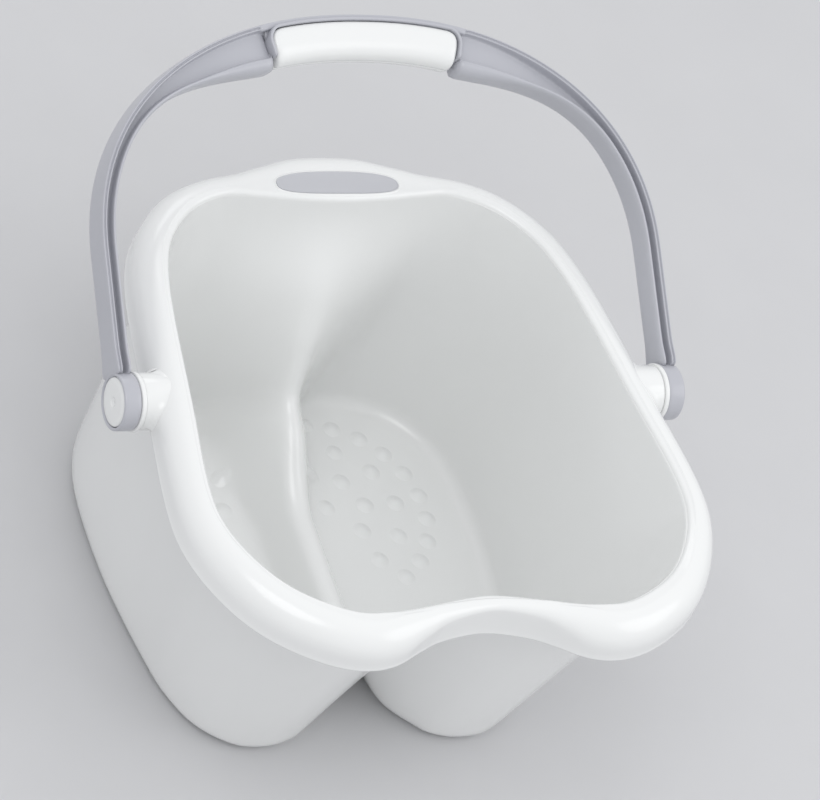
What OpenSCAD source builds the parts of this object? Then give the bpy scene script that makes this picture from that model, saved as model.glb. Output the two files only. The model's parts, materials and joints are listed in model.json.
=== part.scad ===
// Portable foot spa basin with a swinging bail handle.
// The origin is on the resting face, under the middle of the box round the whole assembly.
// Inside this file the pivots stand over the origin, and the last block moves every piece.
// +X is right, +Y is towards the back, where the nameplate is, and +Z is up.

/* [Opening] */
// Half width of the opening inside the rim, at its widest
opening_half_w = 156; // [130:1:190]
// Depth of the opening behind the pivots
opening_back = 143; // [119:1:172]
// Depth of the opening in front of the pivots
opening_front = 168; // [140:1:202]
// Height of the rim above the resting face
basin_h = 198; // [165:1:238]
// Thickness of the moulding
wall = 2.5; // [2:0.1:3]

/* [Floor] */
// Half width of the floor at its widest
floor_half_w = 135; // [112:1:150]
// Depth of the floor behind the pivots
floor_back = 134; // [115:1:145]
// Depth of the floor in front of the pivots
floor_front = 130; // [108:1:156]
// Radius between the walls and the floor
floor_fillet_r = 11; // [8:0.5:14]
// Height of the massage bumps
bump_h = 1.8; // [1:0.1:2.4]
// Radius of the massage bumps where they meet the floor
bump_r = 4.3; // [3:0.1:5]

/* [Ridge] */
// Height of the ridge between the foot wells
ridge_h = 32; // [26:1:40]
// Extra height of the ridge where it runs into the back wall
ridge_rise = 36; // [10:1:44]
// Radius of the ridge's crest and of its feet
ridge_r = 8; // [6:0.5:9]
// Steepness of the ridge's flanks, from level
ridge_flank_angle = 72; // [60:1:76]
// Depth of the finger recess in the back wall
recess_depth = 46; // [36:1:50]
// Depth of the channel in the front wall, at the floor
channel_depth = 42; // [30:1:46]
// Depth of the channel in the front wall, at the rim
channel_rim_depth = 2; // [0:0.5:4]

/* [Lip] */
// Width of the lip along the sides
lip_w = 20; // [18:0.5:24]
// Radius of the lip's outer shoulder
lip_r = 17; // [12:0.5:18]
// Height of the lip, down to its open lower edge
lip_drop = 26; // [22:0.5:32]
// Radius that is left under the opening's rounded edge
under_edge_r = 0.5; // [0.3:0.1:1.5]

/* [Nameplate] */
// Length of the nameplate
plate_l = 83; // [60:1:84]
// Width of the nameplate
plate_w = 17; // [10:0.5:18]
// Thickness of the nameplate
plate_t = 1.2; // [0.8:0.1:1.6]
// Thickness of the adhesive pad
pad_t = 0.3; // [0.2:0.1:0.6]
// Depth of the recess that the nameplate lies in
plate_recess = 1.2; // [0.8:0.1:1.4]
// Gap round the nameplate
plate_gap = 0.3; // [0.2:0.1:0.6]

/* [Pivots] */
// Radius of the journal
journal_r = 8; // [6:0.5:10]
// Radial running clearance between journal and bush
run_gap = 0.05; // [0.02:0.01:0.1]
// Wall of the bush
bush_wall = 3; // [2:0.5:4]
// Thickness of the bush's flange
bush_flange_t = 3; // [2:0.5:4]
// Axial running gap at each side of the pivot
axial_gap = 0.2; // [0.1:0.05:0.4]
// Reach of the retaining washer past the bush
washer_reach = 1.55; // [0.8:0.05:2.5]
// Thickness of the retaining washer
washer_t = 1; // [0.8:0.1:1.2]
// Room round the washer inside the cap
washer_room = 0.8; // [0.4:0.1:1.5]
// Thickness of the cap's rim
cap_wall = 1.5; // [1:0.1:2]
// Thickness of the cap's face
cap_t = 1.3; // [1:0.1:1.6]
// Gap round the cap
cap_gap = 0.1; // [0.05:0.05:0.3]
// Thickness of the ring round the cap
ring_wall = 2.3; // [1.8:0.1:4]
// Radius of the pivot screw's thread
screw_r = 2; // [1.5:0.1:2.5]
// Depth that the journal's pin reaches into the boss
pin_l = 14; // [10:1:18]
// Solid length of the pin behind the pivot screw
pin_floor = 7.4; // [3:0.1:10]

/* [Handle] */
// Angle that the handle leans back from upright
handle_lean = 64.5; // [0:0.5:80]
// Clearance between the lip and the bow's legs
leg_clearance = 3; // [2:0.5:8]
// Clearance between the lip's front and the bow, when the bow is swung to the front
front_clearance = 13.2; // [8:0.1:24]
// Height at which the legs start to curve, above the pivot axis
bow_leg_h = 88; // [70:1:106]
// Radial height of the legs
leg_t = 10; // [8:0.5:12]
// Front-to-back width of the bow
bow_w = 20; // [16:0.5:24]
// Thickness of the flanges
flange_t = 3; // [2:0.1:3.6]
// Thickness of the web
web_t = 5; // [4:0.5:7]

/* [Grip] */
// Length of the hand grip
grip_l = 132; // [100:1:158]
// Front-to-back width of the hand grip
grip_w = 24; // [20:0.5:28]
// Radial height of the hand grip
grip_t = 22; // [18:0.5:26.5]
// Thickness of the strip above the grip
strip_t = 4.4; // [3:0.1:6]
// Depth that the collars stand below the grip
collar_drop = 2.6; // [1:0.1:5]
// Thickness of the collars at the grip's ends
collar_t = 3.5; // [2.5:0.1:5]
// Gap between the grip and the bow
grip_gap = 0.2; // [0.1:0.05:0.4]

/* [Hidden] */

basin_white = [0.94, 0.94, 0.95];
handle_grey = [0.70, 0.70, 0.74];
plate_grey = [0.72, 0.72, 0.76];
steel_grey = [0.60, 0.60, 0.62];

eps = 0.01;
round_fn = 96;
rim_edge_r = wall + under_edge_r;

// What the pivots fit to, from the journal outwards
bush_r = journal_r + run_gap + bush_wall;
washer_r = bush_r + washer_reach;
cap_r = washer_r + washer_room + cap_wall;
ring_r = cap_r + cap_gap + ring_wall;
boss_r = ring_r - 0.3;
bush_flange_r = ring_r + 0.6;
rim_over_ring = 1.7;
pivot_z = basin_h - rim_over_ring - ring_r;

// Outlines of the right half, from the middle of the back to the middle of the front.
// X is a share of the half width, and Y of the depth behind or in front of the pivots.
rim_shape = [[0, 0.965], [0.18, 0.973], [0.35, 0.992], [0.5, 1], [0.66, 0.925], [0.785, 0.775],
    [0.85, 0.6], [0.895, 0.35], [0.945, -0.08], [1, -0.445], [0.975, -0.655], [0.83, -0.865],
    [0.61, -0.985], [0.45, -1], [0.32, -0.99], [0.2, -0.975], [0, -0.96]];
floor_shape = [[0, 0.985], [0.22, 0.99], [0.42, 1], [0.57, 0.985], [0.76, 0.9], [0.88, 0.78],
    [0.96, 0.62], [1, 0.39], [0.99, -0.045], [0.915, -0.51], [0.865, -0.695], [0.78, -0.855],
    [0.64, -0.965], [0.51, -0.995], [0.36, -1], [0.22, -1], [0, -1]];
// Width of the lip at each of those points, as a share of lip_w
lip_shape = [2.1, 1.95, 1.42, 0.98, 1, 1, 1, 0.98, 0.98, 0.95, 1.02, 1.16, 1.24, 1.2, 0.82, 0.55, 0.42];
spans = len(rim_shape) - 1;
// Columns of the skin in each span, close together where the ridge meets the walls
span_steps = [5, 3, 2, 2, 2, 2, 2, 1, 1, 2, 2, 2, 2, 2, 3, 5];
column_s = [for (k = [0 : spans - 1], i = [0 : span_steps[k] - 1]) k + i / span_steps[k], spans];
half_cols = len(column_s) - 1;
cols = 2 * half_cols;

function spline(a, b, c, d, t) =
    0.5 * (2 * b + (c - a) * t + (2 * a - 5 * b + 4 * c - d) * t * t
        + (3 * b - a - 3 * c + d) * t * t * t);
function mirrored(p) = [-p.x, p.y];
// Point k of a half outline, which goes on as its mirror image past both ends
function outline_point(shape, k) =
    k < 0 ? mirrored(shape[-k]) : k > spans ? mirrored(shape[2 * spans - k]) : shape[k];
function outline_at(shape, s) =
    let (k = min(floor(s), spans - 1))
    spline(outline_point(shape, k - 1), shape[k], shape[k + 1], outline_point(shape, k + 2), s - k);
function lip_share_at(s) =
    let (k = min(floor(s), spans - 1))
    spline(lip_shape[abs(k - 1)], lip_shape[k], lip_shape[k + 1],
        lip_shape[min(k + 2, 2 * spans - k - 2)], s - k);
function sized(p, half_w, back, front) = [p.x * half_w, p.y * (p.y > 0 ? back : front)];
function rim_at(s) = sized(outline_at(rim_shape, s), opening_half_w, opening_back, opening_front);
function floor_at(s) = sized(outline_at(floor_shape, s), floor_half_w, floor_back, floor_front);
function unit(v) = v / norm(v);
function smooth(t) = let (c = max(0, min(1, t))) c * c * (3 - 2 * c);
function hump(t) = exp(-t * t);
// The finger recess and the front channel push the walls inwards.
recess_half_w = 22;
recess_spread = 52;
channel_half_w = 34;
recess_growth = 0.85;
function recess_at(q) = recess_depth * pow(1 - q, recess_growth) * smooth((1 - q) / 0.4);
function channel_at(q) = channel_depth + (channel_rim_depth - channel_depth) * q;
function wall_at(s, q) =
    let (
        p = floor_at(s) * (1 - q) + rim_at(s) * q,
        back = recess_at(q) * hump(p.x / (recess_half_w + recess_spread * q)),
        front = channel_at(q) * hump(p.x / channel_half_w))
    [p.x, p.y > 0 ? p.y - back : p.y + front];
function wall_out(s, q) =
    let (
        step = 0.05,
        d = unit(wall_at(min(s + step, spans), q) - wall_at(max(s - step, 0), q)))
    s == 0 ? [0, 1] : s == spans ? [0, -1] : [-d.y, d.x];

// The ridge lifts the floor and the foot of the walls.
ridge_rise_start = 20;
ridge_rise_end = 95;
lift_power = 1.6;
function crest_h(y) =
    ridge_h + ridge_rise * smooth((y - ridge_rise_start) / (ridge_rise_end - ridge_rise_start));
arc_w = ridge_r * sin(ridge_flank_angle);
arc_h = ridge_r * (1 - cos(ridge_flank_angle));
function ridge_half_w(crest) = 2 * arc_w + (crest - 2 * arc_h) / tan(ridge_flank_angle);
function ridge_profile(x, crest) =
    let (half_w = ridge_half_w(crest))
    x < arc_w ? crest - ridge_r + sqrt(ridge_r * ridge_r - x * x)
    : x < half_w - arc_w ? crest - arc_h - (x - arc_w) * tan(ridge_flank_angle)
    : x < half_w ? ridge_r - sqrt(ridge_r * ridge_r - pow(half_w - x, 2))
    : 0;
floor_z = wall;
wall_h = basin_h - floor_z;
// A point of the plain tub, lifted by the ridge
function lifted(p, z) =
    [p.x, p.y, z + ridge_profile(abs(p.x), crest_h(p.y)) * pow((basin_h - z) / wall_h, lift_power)];

// Rows of the upper skin, from the lip's lower edge to the crest of the ridge
lip_arc_steps = 4;
least_flat = 1.5;
wall_rows = [0.96, 0.9, 0.82, 0.72, 0.6, 0.48, 0.36, 0.25, 0.15];
fillet_steps = 3;
well_rows = [0.5];
ridge_rows = [1, 0.84, 0.68, 0.5, 0.33, 0.22, 0.11, 0];
function lip_part(s) =
    let (
        rim = rim_at(s),
        out = wall_out(s, 1),
        width = lip_w * lip_share_at(s),
        r = max(wall + 0.3, min(lip_r, width - rim_edge_r - least_flat)),
        place = function (across, down)
            [rim.x + out.x * across, rim.y + out.y * across, basin_h - down])
    [
        place(width, lip_drop),
        for (k = [0 : lip_arc_steps])
            let (a = 90 * k / lip_arc_steps)
            place(width - r * (1 - cos(a)), r * (1 - sin(a))),
        for (a = [0, 45, 90])
            place(rim_edge_r * (1 - sin(a)), rim_edge_r * (1 - cos(a)))
    ];
function wall_part(s) = [for (q = wall_rows) lifted(wall_at(s, q), floor_z + wall_h * q)];
foot_q = floor_fillet_r / wall_h;
function foot_at(s) = wall_at(s, foot_q);
// The fillet runs straight out of the wall, but along the ridge where the ridge meets the wall.
fillet_turn_x = 45;
function fillet_out(s) =
    let (
        foot = foot_at(s),
        out = wall_out(s, foot_q),
        turn = smooth(foot.x / fillet_turn_x))
    unit([out.x * turn, out.y * turn + sign(foot.y) * (1 - turn)]);
function floor_end(s) = foot_at(s) - fillet_out(s) * floor_fillet_r;
function fillet_part(s) = [
    for (k = [1 : fillet_steps])
        let (
            a = 90 * k / fillet_steps,
            share = cos(a),
            p = foot_at(s) * share + floor_end(s) * (1 - share))
        lifted(p, floor_z + floor_fillet_r * (1 - sin(a)))
];
// Each line of the floor runs from the foot of the wall to its own point of the crest.
crest_margin = 6;
crest_back = floor_end(0).y - crest_margin;
crest_front = floor_end(spans).y + crest_margin;
function floor_part(s) =
    let (
        edge = floor_end(s),
        crest = [0, crest_back + (crest_front - crest_back) * s / spans],
        ridge_share = s == 0 || s == spans ? 0.7
            : min(0.85, ridge_half_w(crest_h(crest.y)) / edge.x),
        shares = [
            for (k = well_rows) 1 + (ridge_share - 1) * k,
            for (k = ridge_rows) ridge_share * k
        ])
    [for (share = shares) lifted(crest + (edge - crest) * share, floor_z)];
function half_column(s) = concat(lip_part(s), wall_part(s), fillet_part(s), floor_part(s));
half_skin = [for (s = column_s) half_column(s)];
rows = len(half_skin[0]);
function skin_point(i, j) =
    let (p = half_skin[i <= half_cols ? i : cols - i][j])
    i <= half_cols ? p : [-p.x, p.y, p.z];
upper_skin = [for (j = [0 : rows - 1]) [for (i = [0 : cols - 1]) skin_point(i, j)]];
function skin_normal(i, j) =
    let (
        du = upper_skin[j][(i + 1) % cols] - upper_skin[j][(i + cols - 1) % cols],
        dv = upper_skin[min(j + 1, rows - 1)][i] - upper_skin[max(j - 1, 0)][i])
    unit(cross(dv, du));
// The crest's normal lies in the middle plane, and so do those of the two middle lines.
function flat_normal(n) = unit([0, n.y, n.z]);
lower_skin = [
    for (j = [0 : rows - 1])
        [for (i = [0 : cols - 1])
            let (
                n = skin_normal(i, min(j, rows - 2)),
                in_middle = j == rows - 1 || i == 0 || i == half_cols)
            upper_skin[j][i] - wall * (in_middle ? flat_normal(n) : n)]
];

// The last row of each skin lies on the crest, where the two halves share their points.
function corner(i, j, skin) =
    let (c = i % cols)
    (skin * rows + j) * cols + (j == rows - 1 && c > half_cols ? cols - c : c);
skin_faces = [
    for (skin = [0, 1], j = [0 : rows - 2], i = [0 : cols - 1])
        let (
            a = corner(i, j, skin),
            b = corner(i + 1, j, skin),
            c = corner(i + 1, j + 1, skin),
            d = corner(i, j + 1, skin))
        each skin == 0 ? [[a, b, c], [a, c, d]] : [[a, c, b], [a, d, c]]
];
edge_faces = [
    for (i = [0 : cols - 1])
        let (
            a = corner(i, 0, 0),
            b = corner(i + 1, 0, 0),
            c = corner(i + 1, 0, 1),
            d = corner(i, 0, 1))
        each [[a, c, b], [a, d, c]]
];
module shell() {
    polyhedron(
        points = [for (row = upper_skin) each row, for (row = lower_skin) each row],
        faces = concat(skin_faces, edge_faces),
        convexity = 10);
}

// Rings of massage bumps on the right well: radius, first angle, last angle and count
bump_centre = [40, 48];
bump_rings = [[65, -58, 88, 10], [46, -64, 70, 5], [24, -50, 110, 4], [4, 180, 180, 1]];
bump_fn = 8;
module bump() {
    ball_r = (bump_r * bump_r + bump_h * bump_h) / (2 * bump_h);
    hull()
        for (h = [-wall / 2, bump_h * 0.55, bump_h - eps]) {
            r = sqrt(ball_r * ball_r - pow(ball_r - bump_h + max(0, h), 2));
            translate([0, 0, h]) cylinder(r = r, h = eps, $fn = bump_fn);
        }
}
module bumps() {
    for (side = [-1, 1], ring = bump_rings, k = [0 : ring[3] - 1]) {
        angle = ring[1] + (ring[2] - ring[1]) * k / max(1, ring[3] - 1);
        x = bump_centre.x + ring[0] * cos(angle);
        y = bump_centre.y + ring[0] * sin(angle);
        translate([side * x, y, floor_z]) bump();
    }
}

// A cylinder along the pivot axis, between two distances from the middle
module axle(r, from, to) {
    translate([from, 0, pivot_z]) rotate([0, 90, 0]) cylinder(r = r, h = to - from, $fn = round_fn);
}
// side is 1 on the right and -1 on the left.
module on_side(side) {
    if (side > 0) children();
    else mirror([1, 0, 0]) children();
}

// Stations along the pivot axis, from the basin outwards
screw_head_r = 2 * screw_r;
screw_head_t = 1.6;
screw_head_gap = 0.9;
cap_depth = axial_gap + washer_t + screw_head_t + screw_head_gap + cap_t;
ring_t = leg_t + 1;
ring_face_x = opening_half_w + lip_w + leg_clearance + leg_t;
ring_back_x = ring_face_x - ring_t;
cap_seat_x = ring_face_x - cap_depth;
flange_x = ring_back_x - bush_flange_t;
boss_face_x = flange_x - axial_gap;
boss_root_x = opening_half_w * rim_shape[8].x + wall;
boss_fn = 48;
pin_seat_x = boss_face_x - pin_l;
journal_end_x = cap_seat_x + axial_gap;
washer_face_x = journal_end_x + washer_t;
screw_tip_x = pin_seat_x + pin_floor;
module boss() {
    translate([boss_root_x, 0, pivot_z]) rotate([0, 90, 0])
        cylinder(r = boss_r, h = boss_face_x - boss_root_x, $fn = boss_fn);
}
module pin_socket() {
    translate([pin_seat_x, 0, pivot_z]) rotate([0, 90, 0])
        cylinder(r = journal_r + run_gap, h = pin_l + 1, $fn = boss_fn);
}
module pivot_pin(side) {
    color(steel_grey) on_side(side) difference() {
        axle(journal_r, pin_seat_x, journal_end_x);
        axle(screw_r, screw_tip_x, journal_end_x + 1);
    }
}
module pivot_bush(side) {
    color(basin_white) on_side(side) difference() {
        union() {
            axle(bush_flange_r, flange_x, ring_back_x);
            axle(bush_r, ring_back_x - eps, cap_seat_x);
        }
        axle(journal_r + run_gap, flange_x - 1, cap_seat_x + 1);
    }
}
module pivot_washer(side) {
    color(steel_grey) on_side(side) difference() {
        axle(washer_r, journal_end_x, washer_face_x);
        axle(screw_r, journal_end_x - 1, washer_face_x + 1);
    }
}
module pivot_screw(side) {
    color(steel_grey) on_side(side) {
        axle(screw_r, screw_tip_x, washer_face_x + eps);
        difference() {
            axle(screw_head_r, washer_face_x, washer_face_x + screw_head_t);
            translate([washer_face_x + screw_head_t / 2, 0, pivot_z])
                rotate([0, 90, 0]) cylinder(r = screw_head_r * 0.45, h = screw_head_t, $fn = 6);
        }
    }
}
dimple_r = 3;
dimple_depth = 0.5;
module pivot_cap(side) {
    color(basin_white) on_side(side) difference() {
        axle(cap_r, cap_seat_x, ring_face_x);
        axle(cap_r - cap_wall, cap_seat_x - 1, ring_face_x - cap_t);
        axle(dimple_r, ring_face_x - dimple_depth, ring_face_x + 1);
    }
}

// The nameplate follows the curve of the back bump.
plate_y = opening_back * rim_shape[0].y + rim_edge_r + 0.8 + plate_w / 2;
plate_bow = 0.6;
plate_power = 2.3;
module plate_outline(grow) {
    a = plate_l / 2 + grow;
    b = plate_w / 2 + grow;
    polygon([
        for (k = [0 : 6 : 354])
            let (x = a * sign(cos(k)) * pow(abs(cos(k)), 2 / plate_power))
            [
                x,
                b * sign(sin(k)) * pow(abs(sin(k)), 2 / plate_power)
                    + plate_bow * (1 - 2 * pow(x / a, 2)) + plate_y
            ]
    ]);
}
module plate_layer(grow, low, high) {
    translate([0, 0, basin_h + low]) linear_extrude(high - low) plate_outline(grow);
}
module nameplate() {
    color(plate_grey) plate_layer(0, pad_t - plate_recess, pad_t - plate_recess + plate_t);
}
module nameplate_pad() {
    color(steel_grey) plate_layer(-1, -plate_recess, pad_t - plate_recess);
}

module basin() {
    color(basin_white) difference() {
        union() {
            shell();
            bumps();
            for (side = [-1, 1]) on_side(side) boss();
        }
        plate_layer(plate_gap, -plate_recess, 1);
        for (side = [-1, 1]) on_side(side) pin_socket();
    }
}

// The bow, drawn in its own plane: X across, Y up from the pivot axis
grip_bottom = strip_t + grip_t;
bow_top_t = grip_bottom + collar_drop;
front_lobe = lip_shape[12];
bow_h = opening_front + front_lobe * lip_w + front_clearance + bow_top_t;
bow_power = 2.2;
bow_steps = 24;
leg_start = cap_r + cap_gap + 0.4;
// A point of the outer edge: the share goes from 0 at the leg's top to 1 at the middle.
function bow_outer(share) =
    let (a = 90 * share)
    [
        ring_face_x * pow(cos(a), 2 / bow_power),
        bow_leg_h + (bow_h - bow_leg_h) * pow(sin(a), 2 / bow_power)
    ];
// The bow grows from the legs towards the grip.
growth_start_x = ring_face_x - 17;
growth_end_x = grip_l / 2;
function bow_t(x) =
    leg_t + (bow_top_t - leg_t) * smooth((growth_start_x - x) / (growth_start_x - growth_end_x));
function bow_inward(share) =
    let (
        step = 0.002,
        d = unit(bow_outer(min(1, share + step)) - bow_outer(max(0, share - step))))
    [-d.y, d.x];
function bow_point(share, depth) =
    share <= 0 ? bow_outer(0) - [depth, 0] : bow_outer(share) + bow_inward(share) * depth;
// Half of a line that lies a share of the bow's height inside its outer edge, plus an offset
function bow_line(t_share, offset) = [
    [ring_face_x - leg_t * t_share - offset, leg_start],
    for (k = [0 : bow_steps])
        let (share = pow(k / bow_steps, 1.15))
        bow_point(share, bow_t(bow_outer(share).x) * t_share + offset)
];
function whole_line(half) = [
    each half,
    for (k = [len(half) - 2 : -1 : 0]) mirrored(half[k])
];
function reversed(list) = [for (k = [len(list) - 1 : -1 : 0]) list[k]];
module band(outer, inner) {
    polygon(concat(whole_line(outer), reversed(whole_line(inner))));
}
// Puts a drawing in the bow's plane into the basin's frame, where it leans back.
module in_bow_plane() {
    translate([0, 0, pivot_z]) rotate([90 - handle_lean, 0, 0]) children();
}
module slab(width, low) {
    translate([0, 0, low]) linear_extrude(width) children();
}
// The grip's window in the bow's plane, from the strip down past the bow
window_low = bow_h - bow_top_t - 20;
module window(side_gap) {
    translate([-grip_l / 2 + side_gap, window_low])
        square([grip_l - 2 * side_gap, bow_top_t + 60]);
}
core_t = 8;
grip_screw_x = 38;
grip_screw_r = 1.5;
grip_screw_head_r = 3;
module grip_holes(r, low, high) {
    for (side = [-1, 1])
        translate([side * grip_screw_x, bow_h - strip_t - grip_t / 2 - 3, low])
            cylinder(r = r, h = high - low, $fn = 48);
}
module bow_sections() {
    // Web, with its window for the grip
    slab(web_t, -web_t / 2) difference() {
        band(bow_line(0, flange_t - 0.5), bow_line(1, 0.5 - flange_t));
        window(0);
    }
    // Outer flange
    slab(bow_w, -bow_w / 2) difference() {
        band(bow_line(0, 0), bow_line(0, flange_t));
        window(collar_t);
    }
    // Inner flange, up to the collars
    slab(bow_w, -bow_w / 2) difference() {
        band(bow_line(1, -flange_t), bow_line(1, 0));
        window(0);
    }
    // Strip above the grip
    slab(bow_w, -bow_w / 2) intersection() {
        band(bow_line(0, 0), bow_line(0, strip_t));
        window(0);
    }
    // Core through the grip
    slab(core_t, -core_t / 2) intersection() {
        band(bow_line(0, strip_t - 1), bow_line(0, grip_bottom - 5));
        window(-1);
    }
    // Collars
    for (side = [-1, 1])
        slab(bow_w, -bow_w / 2) intersection() {
            band(bow_line(0, 0.5), bow_line(1, -0.5));
            translate([side * (grip_l + collar_t) / 2, bow_h - bow_top_t])
                square([collar_t, 3 * bow_top_t], center = true);
        }
}
module handle_bow() {
    color(handle_grey) difference() {
        union() {
            difference() {
                in_bow_plane() bow_sections();
                in_bow_plane() grip_holes(grip_screw_r, -core_t, core_t);
            }
            for (side = [-1, 1]) on_side(side) axle(ring_r, ring_back_x, ring_face_x);
        }
        for (side = [-1, 1]) on_side(side) {
            axle(bush_r, ring_back_x - 1, ring_face_x);
            axle(cap_r + cap_gap, cap_seat_x, ring_face_x + 1);
        }
    }
}
module grip_half(side) {
    low = side > 0 ? 0 : -grip_w / 2;
    difference() {
        slab(grip_w / 2, low) intersection() {
            band(bow_line(0, strip_t + grip_gap), bow_line(0, grip_bottom));
            window(grip_gap);
        }
        slab(core_t + 2 * grip_gap, -core_t / 2 - grip_gap)
            band(bow_line(0, 0), bow_line(0, grip_bottom - 5 + grip_gap));
    }
}
grip_screw_tip = grip_w / 2 - 3;
grip_screw_seat = -grip_w / 2 + 2.5;
module grip_front() {
    color(basin_white) in_bow_plane() difference() {
        grip_half(1);
        grip_holes(grip_screw_r, -1, grip_screw_tip);
    }
}
module grip_rear() {
    color(basin_white) in_bow_plane() difference() {
        grip_half(-1);
        grip_holes(grip_screw_r, -grip_w, 1);
        grip_holes(grip_screw_head_r, -grip_w, grip_screw_seat);
    }
}
module grip_screws() {
    color(steel_grey) in_bow_plane() {
        grip_holes(grip_screw_r, grip_screw_seat - eps, grip_screw_tip);
        grip_holes(grip_screw_head_r, grip_screw_seat - 1.8, grip_screw_seat);
    }
}

// How far the middle of the assembly's box lies behind the pivots, to a whole millimetre
box_front = opening_front + front_lobe * lip_w;
box_back = bow_h * sin(handle_lean) + bow_w / 2 * cos(handle_lean);
frame_y = round((box_back - box_front) / 2);
translate([0, -frame_y, 0]) {
    basin();
    nameplate();
    nameplate_pad();
    handle_bow();
    grip_front();
    grip_rear();
    grip_screws();
    pivot_pin(-1);  // pivot_pin_left
    pivot_pin(1);  // pivot_pin_right
    pivot_bush(-1);  // pivot_bush_left
    pivot_bush(1);  // pivot_bush_right
    pivot_washer(-1);  // pivot_washer_left
    pivot_washer(1);  // pivot_washer_right
    pivot_screw(-1);  // pivot_screw_left
    pivot_screw(1);  // pivot_screw_right
    pivot_cap(-1);  // pivot_cap_left
    pivot_cap(1);  // pivot_cap_right
}
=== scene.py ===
# %% [markdown]
# # A foot bath with a swinging handle
#
# The real thing is a white moulded tub for two feet. A hollow ridge parts its two wells,
# small domes on the floor massage the soles, and a grey bail handle swings on two bosses.
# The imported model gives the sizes, the pivots and the moving bodies. This script dresses it:
# the tub, the lip and the handle are modelled again with soft curves, and every surface
# gets a finish made of shader nodes.

import json
import math

import bmesh
import bpy
from mathutils import Matrix, Vector
from mathutils.bvhtree import BVHTree


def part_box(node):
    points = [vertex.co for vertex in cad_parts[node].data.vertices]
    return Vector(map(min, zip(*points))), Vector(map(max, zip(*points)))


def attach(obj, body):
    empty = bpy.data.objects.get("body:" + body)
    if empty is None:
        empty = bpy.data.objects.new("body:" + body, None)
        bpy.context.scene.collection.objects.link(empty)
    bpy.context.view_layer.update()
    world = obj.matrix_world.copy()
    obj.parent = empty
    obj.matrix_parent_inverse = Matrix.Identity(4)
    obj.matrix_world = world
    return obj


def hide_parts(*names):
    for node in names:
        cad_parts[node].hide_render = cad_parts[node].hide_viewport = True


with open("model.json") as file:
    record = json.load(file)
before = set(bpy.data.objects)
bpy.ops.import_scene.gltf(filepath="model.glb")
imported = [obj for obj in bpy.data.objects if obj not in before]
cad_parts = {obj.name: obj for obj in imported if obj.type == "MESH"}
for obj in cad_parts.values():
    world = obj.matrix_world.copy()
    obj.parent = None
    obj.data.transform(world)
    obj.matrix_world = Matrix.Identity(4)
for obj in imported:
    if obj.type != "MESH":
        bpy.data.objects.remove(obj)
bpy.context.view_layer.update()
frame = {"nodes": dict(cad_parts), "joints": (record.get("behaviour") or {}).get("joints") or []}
MM = 0.001
pivot = Vector(frame["joints"][0]["pos_m"])
to_frame = Vector((0, pivot.y, 0))
pivot -= to_frame

# %% [markdown]
# The shapes below are drawn with the pivots right over the origin, which keeps the sums
# short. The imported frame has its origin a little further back, so `to_frame` moves each
# finished piece there.
#
# The camera stands where it sees into the tub from above the front, and it is rolled,
# because the tub hangs tilted from a hand in such a view. Three unit vectors say how it is
# turned: what is right, what is up and what points back at the camera.

# %% Camera
SENSOR = 0.036
LENS_SHARE = 6.9207317  # the lens's length over the sensor's width
camera_spot = Vector((-1.58846, -1.82408, 2.56561))
camera_right = Vector((0.88299, -0.29906, 0.36178))
camera_up = Vector((0.01610, 0.78959, 0.61342))
camera_back = Vector((-0.46911, -0.53582, 0.70202))
camera = bpy.data.objects.new("camera", bpy.data.cameras.new("camera"))
bpy.context.collection.objects.link(camera)
turned = Matrix((camera_right, camera_up, camera_back)).transposed().to_4x4()
camera.matrix_world = Matrix.Translation(camera_spot + to_frame) @ turned
camera.data.sensor_width = SENSOR / MM
camera.data.lens = SENSOR / MM * LENS_SHARE
camera.data.clip_end = 50
bpy.context.scene.camera = camera
print("lens:", round(camera.data.lens, 1), "mm")

# %% [markdown]
# A finish is a small graph of nodes. Written as plain sums it is easy to read, so one class
# wraps a socket and turns + and * into Math nodes, and one method makes any other node.

# %% Sums of sockets
class Wire:
    """An output socket that can be added and multiplied."""

    def __init__(self, finish, socket):
        self.finish, self.socket = finish, socket

    def math(self, operation, other):
        return self.finish.node("ShaderNodeMath", {"operation": operation}, {0: self, 1: other})

    def __add__(self, other):
        return self.math("ADD", other)

    def __mul__(self, other):
        return self.math("MULTIPLY", other)

    __radd__, __rmul__ = __add__, __mul__


class Finish:
    """A material whose nodes are made one by one."""

    def __init__(self, name):
        self.material = bpy.data.materials.new(name)
        self.material.use_nodes = True
        self.tree = self.material.node_tree
        self.shader = self.tree.nodes["Principled BSDF"]
        coordinates = self.tree.nodes.new("ShaderNodeTexCoord")
        self.place = Wire(self, coordinates.outputs["Object"])

    def set(self, node, inputs):
        for key, value in inputs.items():
            if isinstance(value, Wire):
                self.tree.links.new(value.socket, node.inputs[key])
            else:
                node.inputs[key].default_value = value

    def node(self, kind, settings, inputs, output=0):
        made = self.tree.nodes.new(kind)
        for key, value in settings.items():
            setattr(made, key, value)
        self.set(made, inputs)
        return Wire(self, made.outputs[output])

    def noise(self, scale, detail=2.0, place=None):
        return self.node("ShaderNodeTexNoise", {}, {
            "Vector": place or self.place, "Scale": scale, "Detail": detail}, "Fac")

    def mix(self, share, first, second):
        made = self.tree.nodes.new("ShaderNodeMix")
        made.data_type = "RGBA"
        self.set(made, {"Factor": share, 6: first, 7: second})
        return Wire(self, made.outputs[2])

    def bump(self, height, strength, distance, normal=None):
        inputs = {"Height": height, "Strength": strength, "Distance": distance}
        if normal:
            inputs["Normal"] = normal
        return self.node("ShaderNodeBump", {}, inputs)

    def done(self, **inputs):
        named = {key.replace("_", " "): value for key, value in inputs.items()}
        self.set(self.shader, named)
        return self.material


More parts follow.
